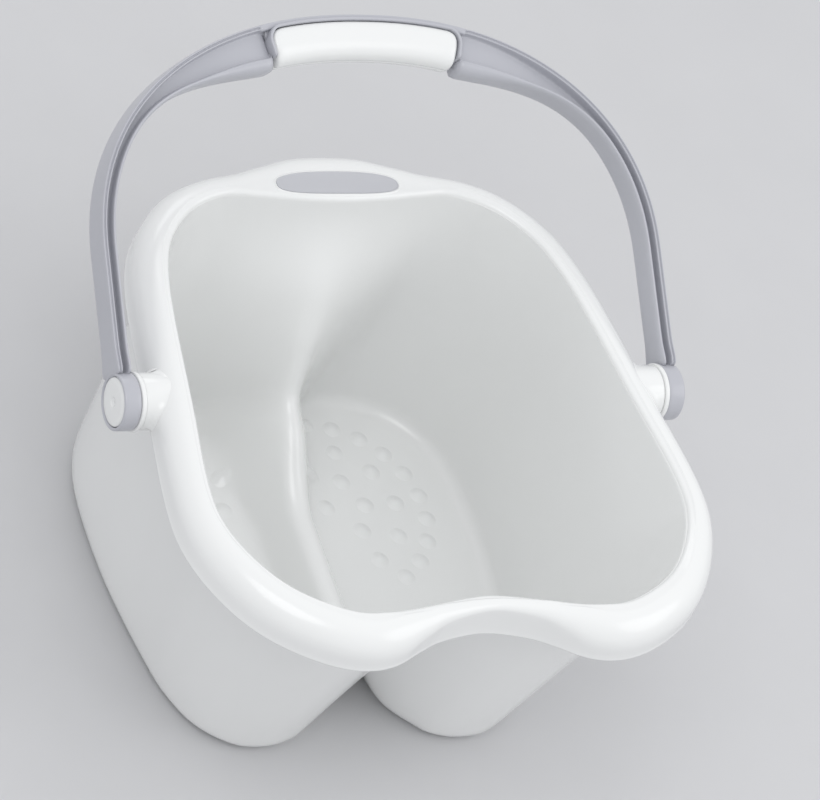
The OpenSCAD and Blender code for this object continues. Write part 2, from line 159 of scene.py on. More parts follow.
# %% [markdown]
# The tub is gloss polypropylene. Up close such a moulding has a faint orange-peel ripple, a
# finer grain under it, and rubbed patches where the gloss is a little duller. The three are
# noise at different sizes: the ripple and the grain go to the bump, the patches to roughness.

# %% White moulding
WHITE = (0.855, 0.86, 0.853, 1)
WHITE_SHADE = (0.835, 0.842, 0.835, 1)


def moulded_white(name, rough, ripple):
    finish = Finish(name)
    patches = finish.noise(9, 3)
    rubbed = finish.noise(60, 4)
    surface = finish.bump(finish.noise(150, 1), ripple, 0.0004)
    surface = finish.bump(finish.noise(1400, 2), ripple * 0.5, 0.0001, surface)
    return finish.done(
        Base_Color=finish.mix(patches, WHITE, WHITE_SHADE),
        Roughness=rough + 0.03 * rubbed,
        Coat_Weight=0.25 + 0.15 * patches,
        Coat_Roughness=0.08,
        IOR=1.49,
        Normal=surface)


tub_white = moulded_white("tub_white", 0.20, 0.05)
grip_white = moulded_white("grip_white", 0.24, 0.03)
print("white finishes:", tub_white.name, grip_white.name)

# %% [markdown]
# The handle is the same plastic, dyed a cool grey, with a duller skin. Long soft flow marks
# run through dyed mouldings, so one noise is stretched before it is mixed into the colour.

# %% Grey moulding, plate, foam and steel
GREY = (0.50, 0.505, 0.545, 1)
GREY_SHADE = (0.47, 0.475, 0.515, 1)


def moulded_grey(name, light, shade, rough):
    finish = Finish(name)
    flow = finish.node("ShaderNodeMapping", {}, {"Vector": finish.place, "Scale": (1, 6, 6)})
    marks = finish.noise(7, 3, flow)
    surface = finish.bump(finish.noise(170, 1), 0.05, 0.0004)
    surface = finish.bump(finish.noise(1500, 2), 0.06, 0.0001, surface)
    return finish.done(
        Base_Color=finish.mix(marks, light, shade),
        Roughness=rough + 0.05 * finish.noise(70, 4),
        Coat_Weight=0.12 + 0.1 * marks,
        Coat_Roughness=0.15,
        IOR=1.49,
        Normal=surface)


handle_grey = moulded_grey("handle_grey", GREY, GREY_SHADE, 0.27)
plate_grey = moulded_grey("plate_grey", (0.55, 0.555, 0.585, 1), (0.52, 0.525, 0.555, 1), 0.34)


def brushed_steel():
    finish = Finish("brushed_steel")
    fine = finish.node("ShaderNodeMapping", {}, {"Vector": finish.place, "Scale": (40, 400, 400)})
    lines = finish.noise(8, 4, fine)
    return finish.done(
        Base_Color=finish.mix(lines, (0.62, 0.62, 0.64, 1), (0.50, 0.50, 0.52, 1)),
        Roughness=0.22 + 0.2 * lines,
        Metallic=1.0,
        Normal=finish.bump(lines, 0.1, 0.0001))


def adhesive_foam():
    finish = Finish("adhesive_foam")
    cells = finish.noise(2500, 2)
    return finish.done(
        Base_Color=finish.mix(cells, (0.12, 0.12, 0.13, 1), (0.05, 0.05, 0.05, 1)),
        Roughness=0.9,
        Normal=finish.bump(cells, 0.4, 0.0003))


steel, foam = brushed_steel(), adhesive_foam()

# %% [markdown]
# Most of these shapes are skins through a row of rings: the rings of the tub shrink from the
# lip down to the ridge, and those of the handle follow its arch. One helper makes such a
# skin. It starts from a circle of edges and extrudes it again and again, and after each step
# it puts the new ring's points where they belong.

# %% Skins through rings
def ring_edges(ring):
    members = set(ring)
    return list({e for v in ring for e in v.link_edges if e.other_vert(v) in members})


def next_ring(bm, ring, points):
    grown = bmesh.ops.extrude_edge_only(bm, edges=ring_edges(ring))["geom"]
    new = {v for v in grown if isinstance(v, bmesh.types.BMVert)}
    following = [
        next(e.other_vert(v) for e in v.link_edges if e.other_vert(v) in new) for v in ring]
    for vert, point in zip(following, points):
        vert.co = point
    return following


def skin(bm, rings, capped=True):
    """Extrudes a ring of edges through rows of points, and can close both ends."""
    ring = bmesh.ops.create_circle(bm, cap_ends=False, segments=len(rings[0]), radius=1)["verts"]
    for vert, point in zip(ring, rings[0]):
        vert.co = point
    made = [ring]
    for points in rings[1:]:
        made.append(next_ring(bm, made[-1], points))
    if capped:
        for end in (made[0], made[-1]):
            bmesh.ops.contextual_create(bm, geom=ring_edges(end))
    return made


def piece(name, bm, finish, body, nodes=(), smooth=True, levels=0):
    """Turns a bmesh into an object that rides on a body and takes a finish."""
    mesh = bpy.data.meshes.new(name)
    bmesh.ops.translate(bm, verts=bm.verts, vec=to_frame)
    bm.to_mesh(mesh)
    bm.free()
    mesh.materials.append(finish)
    for polygon in mesh.polygons:
        polygon.use_smooth = smooth
    made = bpy.data.objects.new(name, mesh)
    bpy.context.collection.objects.link(made)
    if levels:
        rounding = made.modifiers.new("rounding", "SUBSURF")
        rounding.levels = rounding.render_levels = levels
    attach(made, body)
    if nodes:
        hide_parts(*nodes)
    print(name, len(mesh.polygons), "faces")
    return made


# %% [markdown]
# ## The tub
#
# Seen from above, the opening and the floor are two soft outlines that aren't quite ovals. A
# few points of the right half are enough for each, as shares of its half width and depth,
# with a curve through them. The wall is what lies between the two outlines.

# %% Outlines of the tub
rim_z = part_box("basin")[1].z
rim_size = (156 * MM, 143 * MM, 168 * MM)
floor_size = (135 * MM, 134 * MM, 130 * MM)
wall_t = 2.5 * MM
rim_shape = [
    (0, 0.965), (0.18, 0.973), (0.35, 0.992), (0.5, 1), (0.66, 0.925), (0.785, 0.775),
    (0.85, 0.6), (0.895, 0.35), (0.945, -0.08), (1, -0.445), (0.975, -0.655),
    (0.83, -0.865), (0.61, -0.985), (0.45, -1), (0.32, -0.99), (0.2, -0.975), (0, -0.96)]
floor_shape = [
    (0, 0.985), (0.22, 0.99), (0.42, 1), (0.57, 0.985), (0.76, 0.9), (0.88, 0.78),
    (0.96, 0.62), (1, 0.39), (0.99, -0.045), (0.915, -0.51), (0.865, -0.695),
    (0.78, -0.855), (0.64, -0.965), (0.51, -0.995), (0.36, -1), (0.22, -1), (0, -1)]
lip_shape = [
    2.1, 1.95, 1.42, 0.98, 1, 1, 1, 0.98, 0.98, 0.95, 1.02, 1.16, 1.24, 1.2, 0.82, 0.55, 0.42]
spans = len(rim_shape) - 1


def curve(a, b, c, d, t):
    """The smooth curve from b to c that heads from a and on to d."""
    return 0.5 * (2 * b + (c - a) * t + (2 * a - 5 * b + 4 * c - d) * t * t
                  + (3 * b - a - 3 * c + d) * t * t * t)


def on_shape(values, s, odd):
    """The curve through the values at s, which goes on as its mirror image past both ends."""
    k = min(int(s), spans - 1)

    def value(i):
        sign = -1 if odd and (i < 0 or i > spans) else 1
        return sign * values[-i if i < 0 else 2 * spans - i if i > spans else i]

    return curve(value(k - 1), value(k), value(k + 1), value(k + 2), s - k)


def outline(shape, size, s):
    x = on_shape([p[0] for p in shape], s, True) * size[0]
    y = on_shape([p[1] for p in shape], s, False)
    return Vector((x, y * (size[1] if y > 0 else size[2])))


def ease(t):
    t = max(0.0, min(1.0, t))
    return t * t * (3 - 2 * t)


def hump(t):
    return math.exp(-t * t)


# %% [markdown]
# The back wall bulges into the tub and grows deeper on its way down, and the front wall is
# pushed in too. Both are bell curves across the middle. The ridge between the wells lifts the
# floor and the feet of both walls with it, so wall, bulge and ridge are one surface.

# %% Walls and ridge
floor_z = wall_t
wall_h = rim_z - floor_z
BACK_BULGE, BACK_BULGE_W, BACK_BULGE_SPREAD = 46, 22, 52
FRONT_BULGE, FRONT_BULGE_LOSS, FRONT_BULGE_W = 42, 40, 34


def wall_point(s, q):
    """A point of the wall: q is 0 at the floor and 1 at the rim."""
    p = outline(floor_shape, floor_size, s) * (1 - q) + outline(rim_shape, rim_size, s) * q
    if p.y > 0:
        depth = BACK_BULGE * MM * max(0.0, 1 - q) ** 0.85 * ease((1 - q) / 0.4)
        p.y -= depth * hump(p.x / ((BACK_BULGE_W + BACK_BULGE_SPREAD * q) * MM))
    else:
        p.y += (FRONT_BULGE - FRONT_BULGE_LOSS * q) * MM * hump(p.x / (FRONT_BULGE_W * MM))
    return p


def outwards(s, q):
    if s in (0, spans):
        return Vector((0, 1 if s == 0 else -1))
    along = (wall_point(min(s + 0.05, spans), q) - wall_point(max(s - 0.05, 0), q)).normalized()
    return Vector((-along.y, along.x))


ridge_r, flank = 10 * MM, math.radians(68)
arc_w, arc_h = ridge_r * math.sin(flank), ridge_r * (1 - math.cos(flank))
CREST_LOW, CREST_RISE, RISE_START, RISE_LENGTH = 30, 36, 20, 75
LIFT_POWER = 1.6


def crest_h(y):
    return (CREST_LOW + CREST_RISE * ease((y / MM - RISE_START) / RISE_LENGTH)) * MM


def ridge_half_w(crest):
    return 2 * arc_w + (crest - 2 * arc_h) / math.tan(flank)


def ridge_profile(x, crest):
    half_w = ridge_half_w(crest)
    if x < arc_w:
        return crest - ridge_r + math.sqrt(ridge_r ** 2 - x * x)
    if x < half_w - arc_w:
        return crest - arc_h - (x - arc_w) * math.tan(flank)
    if x < half_w:
        return ridge_r - math.sqrt(ridge_r ** 2 - (half_w - x) ** 2)
    return 0.0


def lifted(p, z):
    lift = ridge_profile(abs(p.x), crest_h(p.y)) * ((rim_z - z) / wall_h) ** LIFT_POWER
    return Vector((p.x, p.y, z + lift))


# %% [markdown]
# One line of the surface runs from the lip's lower edge over the shoulder and the rim, down
# the wall, round the fillet and over the floor to the crest of the ridge. Rings are made
# from many such lines. They stand close where the shape turns fast.

# %% One line from the lip to the ridge
lip_w, lip_r, lip_drop, rim_r = 20 * MM, 17 * MM, 26 * MM, 3 * MM
fillet_r = 11 * MM
foot_q = fillet_r / wall_h


def lip_line(s):
    rim, out = outline(rim_shape, rim_size, s), outwards(s, 1)
    width = lip_w * on_shape(lip_shape, s, False)
    r = min(lip_r, width - rim_r - 1.5 * MM)
    dip = 0.9 * MM * ease((s - 2.6) / 1.6) * ease((width - 12 * MM) / (6 * MM))
    bead = 0.5 * MM

    def place(across, down):
        return Vector((*(rim + out * across), rim_z - down))

    line = [place(width + bead, lip_drop), place(width + bead, lip_drop - 1.6 * MM),
            place(width, lip_drop - 2.6 * MM)]
    for k in range(9):
        a = math.pi / 2 * k / 8
        line.append(place(width - r * (1 - math.cos(a)), r * (1 - math.sin(a))))
    flat = width - r - rim_r
    for share in (0.12, 0.5):
        line.append(place(width - r - flat * share, dip * share))
    for k in range(6):
        a = math.pi / 2 * k / 5
        line.append(place(rim_r * (1 - math.sin(a)), dip + (rim_r * (1 - math.cos(a)))))
    return line


def foot_line(s):
    foot = wall_point(s, foot_q)
    out = outwards(s, foot_q)
    turn = ease(foot.x / (45 * MM))
    out = Vector((out.x * turn, out.y * turn + math.copysign(1 - turn, foot.y))).normalized()
    end = foot - out * fillet_r
    line = []
    for k in range(1, 7):
        a = math.pi / 2 * k / 6
        share = math.cos(a)
        height = floor_z + fillet_r * (1 - math.sin(a))
        line.append(lifted(foot * share + end * (1 - share), height))
    return line, end


CREST_INSET = 22 * MM
crest_back = foot_line(0)[1].y - CREST_INSET
crest_front = foot_line(spans)[1].y + CREST_INSET
wall_rows = [
    0.985, 0.96, 0.92, 0.87, 0.81, 0.75, 0.68, 0.61, 0.54, 0.47, 0.4, 0.33, 0.27, 0.21, 0.15, 0.1]
ridge_rows = [1, 0.92, 0.84, 0.76, 0.68, 0.59, 0.5, 0.41, 0.32, 0.24, 0.16, 0.08, 0]


def whole_line(s):
    walls = [lifted(wall_point(s, q), floor_z + wall_h * q) for q in wall_rows]
    fillet, end = foot_line(s)
    crest = Vector((0, crest_back + (crest_front - crest_back) * s / spans))
    share = 0.7 if s in (0, spans) else min(0.85, ridge_half_w(crest_h(crest.y)) / end.x)
    shares = [1 + (share - 1) * k for k in (0.25, 0.5, 0.75)] + [share * k for k in ridge_rows]
    floor_part = [lifted(crest + (end - crest) * k, floor_z) for k in shares]
    return lip_line(s) + walls + fillet + floor_part


# %% [markdown]
# The lines become rings: the right half, then its mirror image. The last ring lies on the
# crest, where the two halves meet, so its doubled points are merged. Where the ridge runs
# into the two walls, the surface is smoothed a few times, each time from a little further
# out. Solidify gives the wall its thickness below the surface, and one level of subdivision
# rounds what is left.

# %% Shell of the tub
steps = [8, 6, 4, 4, 4, 4, 3, 3, 3, 3, 4, 4, 4, 4, 5, 7]
stations = [k + i / n for k, n in enumerate(steps) for i in range(n)] + [spans]
lines = [whole_line(s) for s in stations]
lines += [[Vector((-p.x, p.y, p.z)) for p in line] for line in reversed(lines[1:-1])]
bm = bmesh.new()
rings = skin(bm, [list(row) for row in zip(*lines)], capped=False)
bmesh.ops.remove_doubles(bm, verts=rings[-1], dist=0.01 * MM)
JUNCTION_W = 44 * MM
for near in range(56, 74, 2):
    junction = [v for v in bm.verts if abs(v.co.x) < JUNCTION_W and abs(v.co.y) > near * MM
                and v.co.z < 0.5 * rim_z]
    bmesh.ops.smooth_vert(bm, verts=junction, factor=0.4, use_axis_x=True, use_axis_y=True,
                          use_axis_z=True)
bm.faces.ensure_lookup_table()
level = [f for f in bm.faces if abs(f.calc_center_median().z - floor_z) < 0.1 * MM]
if sum(f.normal.z * f.calc_area() for f in level) < 0:
    bmesh.ops.reverse_faces(bm, faces=bm.faces)
tub_surface = BVHTree.FromBMesh(bm)
tub = piece("tub_shell", bm, tub_white, "basin", ["basin"])
thickness = tub.modifiers.new("wall", "SOLIDIFY")
thickness.thickness, thickness.offset, thickness.use_even_offset = wall_t, -1, False
rounding = tub.modifiers.new("rounding", "SUBSURF")
rounding.levels = rounding.render_levels = 1

# %% [markdown]
# Forty low domes stand on the floor in rings round each well. Each is a spun profile that
# leaves the floor without an edge, as a moulded dome does, and each half has its own rings.
# Rays from above lay the domes on the surface, because a few reach up the ridge's foot.

# %% Massage domes
dome_r, dome_h, DOME_SINK = 6.4 * MM, 1.8 * MM, 0.04 * MM
well_centre = Vector((40 * MM, 48 * MM))
dome_rings = [(65, -58, 88, 10), (46, -64, 70, 5), (24, -50, 110, 4), (4, 180, 180, 1)]
bm = bmesh.new()
DOME_STEPS = 8
for side in (-1, 1):
    for radius, start, end, count in dome_rings:
        for k in range(count):
            angle = math.radians(start + (end - start) * k / max(1, count - 1))
            spot = well_centre + Vector((math.cos(angle), math.sin(angle))) * radius * MM
            centre = Vector((side * spot.x, spot.y, floor_z))
            profile = []
            for i in range(DOME_STEPS + 1):
                r = dome_r * (1 - i / DOME_STEPS)
                height = dome_h * math.cos(math.pi / 2 * r / dome_r) ** 1.2 - DOME_SINK
                profile.append(bm.verts.new(centre + Vector((r, 0, height))))
            edges = [bm.edges.new(pair) for pair in zip(profile, profile[1:])]
            bmesh.ops.spin(bm, geom=profile + edges, cent=centre, axis=(0, 0, 1), angle=2 * math.pi,
                           steps=20, use_merge=True)
bmesh.ops.remove_doubles(bm, verts=bm.verts, dist=0.01 * MM)
for vert in bm.verts:
    ground = tub_surface.ray_cast(Vector((vert.co.x, vert.co.y, rim_z)), Vector((0, 0, -1)))[0]
    vert.co.z += ground.z - floor_z
bmesh.ops.recalc_face_normals(bm, faces=bm.faces)
if sum(f.normal.z for f in bm.faces) < 0:
    bmesh.ops.reverse_faces(bm, faces=bm.faces)
piece("massage_domes", bm, tub_white, "basin")

# %% [markdown]
# ## The pivots
#
# Bosses, collars, rings and caps are round about the same axis, so each is a profile of
# distance and radius that is spun once round. Small flats between the corners round them.

# %% Spun pieces on the pivot axis
SPIN_STEPS = 96


def softened(profile, size):
    """Cuts each corner of a closed profile back by up to size, with three points."""
    points = []
    count = len(profile)
    for i, (x, r) in enumerate(profile):
        here = Vector((x, r))
        before, after = Vector(profile[i - 1]), Vector(profile[(i + 1) % count])
        cut = [here + (other - here).normalized() * min(size, (other - here).length / 2.2)
               for other in (before, after)]
        middle = (cut[0] + cut[1] + here * 2) / 4
        points += [cut[0], middle, cut[1]]
    return points


def spun(bm, profile, side, size=0.6):
    points = [Vector((side * x * MM, 0, pivot.z + r * MM)) for x, r in softened(profile, size)]
    verts = [bm.verts.new(p) for p in points]
    edges = [bm.edges.new((a, b)) for a, b in zip(verts, verts[1:] + verts[:1])]
    bmesh.ops.spin(bm, geom=verts + edges, cent=(0, 0, pivot.z), axis=(1, 0, 0),
                   angle=2 * math.pi, steps=SPIN_STEPS, use_merge=True)


def finish_spun(bm):
    bmesh.ops.remove_doubles(bm, verts=bm.verts, dist=0.005 * MM)
    bmesh.ops.recalc_face_normals(bm, faces=bm.faces)


ring_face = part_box("handle_bow")[1].x / MM
ring_r = 17.3
boss_face = ring_face - 14.2
JOURNAL_R, BUSH_R, COLLAR_R = 8.05, 11.05, 17.9
print("ring face at", round(ring_face, 1), "mm; boss face at", round(boss_face, 1), "mm")


def from_face(profile):
    """A profile whose distances are given from the ring's outer face."""
    return [(ring_face + x, r) for x, r in profile]


# %% [markdown]
# A boss doesn't just stand on the lip: a soft fillet runs round its root. To make it, rays
# find the lip's surface round the boss, and a strip is lofted from the boss to the lip. Where
# there is no lip or no room for it, the strip sinks into the boss.

# %% Bosses and their fillets
boss_r = 17.0
BOSS_FLARE = 6.5
BOSS_ROOT, BURIED_X, FILLET_SINK = 150, 165.5, 0.8


def lip_x(side, y, z):
    hit = tub_surface.ray_cast(Vector((side * 0.4, y, z)), Vector((-side, 0, 0)))[0]
    return None if hit is None else abs(hit.x) / MM


def fillet_rings(side, count=96, arcs=6):
    lip_low = rim_z - lip_drop
    strips = [[] for _ in range(arcs + 1)]
    for k in range(count):
        a = 2 * math.pi * k / count
        up, across = math.sin(a), math.cos(a)
        z = pivot.z + boss_r * MM * up
        limit = rim_z - 1.6 * MM if up > 0 else lip_low + MM
        room = (limit - pivot.z) / MM / up - boss_r if abs(up) > 0.1 else BOSS_FLARE
        reach = max(0.0, min(BOSS_FLARE, room))
        root = lip_x(side, boss_r * MM * across, z) if z > lip_low + MM else None
        far = None
        if root:
            far_r = (boss_r + reach) * MM
            far = lip_x(side, far_r * across, pivot.z + far_r * up)
        if far is None:
            root = far = BURIED_X
            reach = 0.0
        sink = FILLET_SINK * (1 - ease(reach / 1.5))
        start = Vector((min(root + reach * 0.8, boss_face - 0.5), boss_r - sink))
        bend = Vector((root, boss_r - sink))
        end = Vector((far - 2.0, boss_r + reach - 0.3 - sink))
        for j in range(arcs + 1):
            t = j / arcs
            p = start * (1 - t) ** 2 + bend * (2 * t * (1 - t)) + end * t * t
            strips[j].append(Vector((side * p.x * MM, p.y * MM * across, pivot.z + p.y * MM * up)))
    return strips


bm = bmesh.new()
for side in (-1, 1):
    boss = [(BOSS_ROOT, JOURNAL_R), (BOSS_ROOT, boss_r),
            (boss_face, boss_r), (boss_face, JOURNAL_R)]
    spun(bm, boss, side, 0.9)
    skin(bm, fillet_rings(side), capped=False)
finish_spun(bm)
piece("pivot_bosses", bm, tub_white, "basin")

# %% [markdown]
# The collar is the flange of the bush that the ring turns on, and the cap closes the ring's
# outer end. A shadow gap stays round the cap, and a small dimple marks its middle.

# %% Collars and caps
collar = from_face([(-14, JOURNAL_R), (-14, COLLAR_R), (-11.15, COLLAR_R), (-11.15, BUSH_R),
                    (-5, BUSH_R), (-5, JOURNAL_R)])
cap = from_face([(-5, 13.4), (-5, 14.65), (-0.9, 14.65), (-0.35, 13.9), (0, 11), (0.1, 6),
                 (0.1, 3.2), (-0.5, 2.4), (-0.7, 0.02), (-1.6, 0.02), (-1.6, 13.4)])
for side, word in ((-1, "left"), (1, "right")):
    for name, node, profile, size in (("pivot_collar_", "pivot_bush_", collar, 0.7),
                                      ("pivot_cap_cover_", "pivot_cap_", cap, 0.35)):
        bm = bmesh.new()
        spun(bm, profile, side, size)
        finish_spun(bm)
        piece(name + word, bm, grip_white, "handle", [node + word])

# %% [markdown]
# ## The handle
#
# The bow is an I-beam bent to an arch: two flanges with a web between them, slim at the legs
# and deep beside the grip. Its outer edge is a superellipse on two straight legs. A section
# is drawn as depth below the outer edge and offset across, and is carried along the arch.

# %% The arch
bow_tilt = math.radians(90 - 64.5)
bow_h, bow_leg_h, bow_power = 235.0, 88.0, 2.2
leg_t, bow_top_t, grip_half = 10.0, 29.0, 66.0
BOW_HALF_W, THIN_FLANGE = 10, 2.8
bow_place = Matrix.Translation(pivot) @ Matrix.Rotation(bow_tilt, 4, "X")


def arch(share):
    a = math.pi / 2 * share
    return Vector((ring_face * max(0.0, math.cos(a)) ** (2 / bow_power),
                   bow_leg_h + (bow_h - bow_leg_h) * math.sin(a) ** (2 / bow_power)))


def arch_frame(share):
    """A point of the outer edge and the direction inwards from it."""
    if share <= 0:
        return arch(0), Vector((-1, 0))
    if share >= 1:
        return arch(1), Vector((0, -1))
    along = (arch(min(1, share + 0.002)) - arch(max(0, share - 0.002))).normalized()
    return arch(share), Vector((-along.y, along.x))


def share_at(x):
    low, high = 0.0, 1.0
    for _ in range(40):
        middle = (low + high) / 2
        low, high = (middle, high) if arch(middle).x > x else (low, middle)
    return low


def bow_t(x):
    return leg_t + (bow_top_t - leg_t) * ease((ring_face - 17 - x) / (ring_face - 17 - grip_half))


def flipped(vector):
    return Vector((-vector.x, vector.y))


def over_middle(end, steps):
    """Goes along the arch from the left end over the middle to the right end."""
    for k in range(steps + 1):
        u = -1 + 2 * k / steps
        edge, inward = arch_frame(end + (1 - end) * (1 - abs(u)))
        yield (flipped(edge), flipped(inward)) if u < 0 else (edge, inward)


def placed(edge, inward, section):
    """A section's points of depth and offset, at one place of the arch."""
    return [bow_place @ (Vector((*(edge + inward * depth), across)) * MM)
            for depth, across in section]


def mirrored_section(half):
    return half + [(depth, -across) for depth, across in reversed(half)]


# %% [markdown]
# The outer flange has a fine double edge, because a groove runs along its side. The inner
# flange is thin along the arms, and thickens to a half-round underside beside the grip, where
# the web between them is thicker too.

# %% Sections of the bow
def beam_section(t, inner_t, half_w):
    w = half_w
    web = 2.5 + (inner_t - THIN_FLANGE) * 0.65
    outer_flange = [
        (0.0, w * 0.25), (0.05, w * 0.6), (0.15, w * 0.88), (0.4, w * 0.98), (0.8, w), (1.2, w),
        (1.4, w * 0.9), (1.9, w * 0.87), (2.3, w * 0.9), (2.5, w), (3.0, w), (3.4, w * 0.97),
        (3.5, w * 0.86)]
    web_side = [
        (3.5, web + 2.4), (3.7, web + 0.8), (4.3, web + 0.1), (4.8, web),
        ((t - inner_t + 3.4) / 2, web), (t - inner_t - 1.4, web), (t - inner_t - 0.7, web + 0.2),
        (t - inner_t - 0.15, web + 1.0)]
    inner_flange = [
        (t - inner_t, web + 2.2), (t - inner_t, w * 0.88), (t - inner_t + 0.4, w * 0.97),
        (t - inner_t * 0.72, w), (t - inner_t * 0.36, w - inner_t * 0.10),
        (t - inner_t * 0.10, w * 0.86 - inner_t * 0.25), (t, w * 0.62 - inner_t * 0.25),
        (t, w * 0.2)]
    return mirrored_section(outer_flange + web_side + inner_flange)


def block_section(low, high, half_w, corner):
    c = corner
    return mirrored_section([
        (low, half_w * 0.3), (low, half_w - c), (low + c * 0.3, half_w - c * 0.3),
        (low + c, half_w),
        ((low + high) / 2, half_w), (high - c, half_w), (high - c * 0.3, half_w - c * 0.3),
        (high, half_w - c), (high, half_w * 0.3)])


def inner_flange_t(x):
    return THIN_FLANGE + 5.4 * ease((130 - x) / 55)


strip_t, CORNER = 4.4, 8.0


def corner_drop(x):
    """How far the strip's underside drops in the round corners over the grip's ends."""
    u = max(0.0, min(1.0, (abs(x) - grip_half + CORNER) / CORNER))
    return CORNER * (1 - math.sqrt(1 - u * u))


# %% [markdown]
# A thin wall stands round the grip on three sides. It climbs beside one end of the grip,
# turns a round corner, follows the strip's underside and comes down beside the other end.

# %% Wall round the grip
BEAD_T, BEAD_W = 2.0, 12.75


def bead_line():
    """The middle of the wall's right half in the bow's plane, from its foot to the middle."""
    line = []
    for depth in (22.0, 19.0, 16.0):
        line.append((grip_half + BEAD_T / 2, depth))
    for k in range(13):
        a = math.pi / 2 * k / 12
        r = CORNER + BEAD_T / 2
        line.append((grip_half - CORNER + r * math.cos(a), strip_t + CORNER - r * math.sin(a)))
    for k in range(1, 13):
        line.append(((grip_half - CORNER) * (1 - k / 12), strip_t - BEAD_T / 2))
    points = []
    for x, depth in line:
        edge, inward = arch_frame(share_at(x))
        points.append(edge + inward * depth)
    return points


def bead_rows():
    half = bead_line()
    points = half + [Vector((-p.x, p.y)) for p in reversed(half[:-1])]
    rows = []
    for k, point in enumerate(points):
        along = (points[min(k + 1, len(points) - 1)] - points[max(k - 1, 0)]).normalized()
        section = block_section(-BEAD_T / 2, BEAD_T / 2, BEAD_W, 0.7)
        rows.append(placed(point, Vector((-along.y, along.x)), section))
    return rows


# %% [markdown]
# The right arm is skinned from inside its ring to the grip, its ring is added, and both are
# mirrored. The strip over the grip joins the two, with a web in each upper corner.

# %% Arms, rings and strip
LEG_STEPS, ARM_STEPS, STRIP_STEPS, WEB_STEPS = 14, 45, 40, 12
LEG_START, LEG_FLARE, LEG_OVERHANG = 13.5, 2.0, 0.6
arm_end = share_at(grip_half + 1)
rows = []
for k in range(LEG_STEPS):
    height = LEG_START + (bow_leg_h - LEG_START) * k / LEG_STEPS
    half_w = BOW_HALF_W + LEG_FLARE * ease((30 - height) / 12)
    if height < ring_r:
        half_w = min(half_w, math.sqrt(ring_r ** 2 - height ** 2) + LEG_OVERHANG)
    section = [(depth, across * half_w / BOW_HALF_W)
               for depth, across in beam_section(leg_t, THIN_FLANGE, BOW_HALF_W)]
    rows.append(placed(Vector((ring_face, height)), Vector((-1, 0)), section))
for k in range(ARM_STEPS + 1):
    edge, inward = arch_frame(arm_end * (k / ARM_STEPS) ** 1.15)
    section = beam_section(bow_t(edge.x), inner_flange_t(edge.x), BOW_HALF_W)
    rows.append(placed(edge, inward, section))
bm = bmesh.new()
skin(bm, rows)
spun(bm, from_face([(-11, BUSH_R), (-11, ring_r), (0, ring_r), (0, 15), (-5, 15), (-5, BUSH_R)]),
     1, 1.1)
bmesh.ops.mirror(bm, geom=bm.verts[:] + bm.edges[:] + bm.faces[:], axis="X", merge_dist=-1)
strip = block_section(0, strip_t, BOW_HALF_W, 1.3)
skin(bm, [placed(edge, inward, strip)
          for edge, inward in over_middle(share_at(grip_half + 6), STRIP_STEPS)])
for side in (-1, 1):
    web_rows = []
    for k in range(WEB_STEPS + 1):
        edge, inward = arch_frame(share_at(grip_half + 1.2 - (CORNER + 1.2) * k / WEB_STEPS))
        low = strip_t + corner_drop(edge.x) + 0.5
        if side < 0:
            edge, inward = flipped(edge), flipped(inward)
        web_rows.append(placed(edge, inward, block_section(strip_t - 1, low, 6.0, 0.6)))
    skin(bm, web_rows)
skin(bm, bead_rows())
finish_spun(bm)
piece("bow", bm, handle_grey, "handle", ["handle_bow"], levels=1)

# %% [markdown]
# The grip is two white half shells. They fill the hand under the strip, with a round belly,
# and their ends stop just short of the thin wall. The seam between them is a real gap.

# %% Grip halves
grip_w, grip_deep = 12.0, 27.2
GRIP_STEPS, GRIP_SEAM = 44, 0.08


def grip_section(side, swell, drop):
    top, low, w = strip_t + 0.15 + drop, grip_deep + swell * 0.5, grip_w + swell
    half = [(top, GRIP_SEAM), (top, w * 0.5), (top + 0.1, w * 0.86), (top + 0.8, w * 0.96),
            (top + 2.4, w), (top + (low - top) * 0.4, w), (max(low - 10.5, top + 3), w * 0.99),
            (low - 6.5, w * 0.93), (low - 3.4, w * 0.80), (low - 1.3, w * 0.60),
            (low - 0.3, w * 0.34), (low, 0.9), (low - 0.25, GRIP_SEAM), (low - 4, GRIP_SEAM),
            (min(top + 8, low - 5), GRIP_SEAM)]
    return [(depth, side * across) for depth, across in half]


for side, word in ((1, "front"), (-1, "rear")):
    rows = []
    for edge, inward in over_middle(share_at(grip_half - 0.25), GRIP_STEPS):
        near_end = ease((abs(edge.x) - grip_half + 2.2) / 2.0)
        section = grip_section(side, -0.9 * near_end - 0.3, min(corner_drop(edge.x), 7))
        rows.append(placed(edge, inward, section))
    bm = bmesh.new()
    skin(bm, rows)
    bmesh.ops.recalc_face_normals(bm, faces=bm.faces)
    piece("grip_shell_" + word, bm, grip_white, "handle", ["grip_" + word],
          levels=1)

# %% [markdown]
# ## The nameplate
#
# A flat grey plate with soft ends lies on the back of the lip. It is left blank. A raised
# edge, made by insetting its top face and pushing the middle down, frames it.

# %% Nameplate
plate_low, plate_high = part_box("nameplate")
plate_a, plate_b = (plate_high.x - plate_low.x) / 2, 8.5 * MM
plate_y = 0.965 * rim_size[1] + 3 * MM + 0.8 * MM + plate_b
plate_bow, plate_power = 0.6 * MM, 2.7
PLATE_STEPS, PLATE_RISE = 160, 0.25 * MM


def plate_point(k, grow, z):
    angle = 2 * math.pi * k / PLATE_STEPS
    a, b = math.cos(angle), math.sin(angle)
    x = (plate_a + grow) * math.copysign(abs(a) ** (2 / plate_power), a)
    y = (plate_b + grow) * math.copysign(abs(b) ** (2 / plate_power), b)
    return Vector((x, y + plate_bow * (1 - 2 * (x / plate_a) ** 2) + plate_y, z))


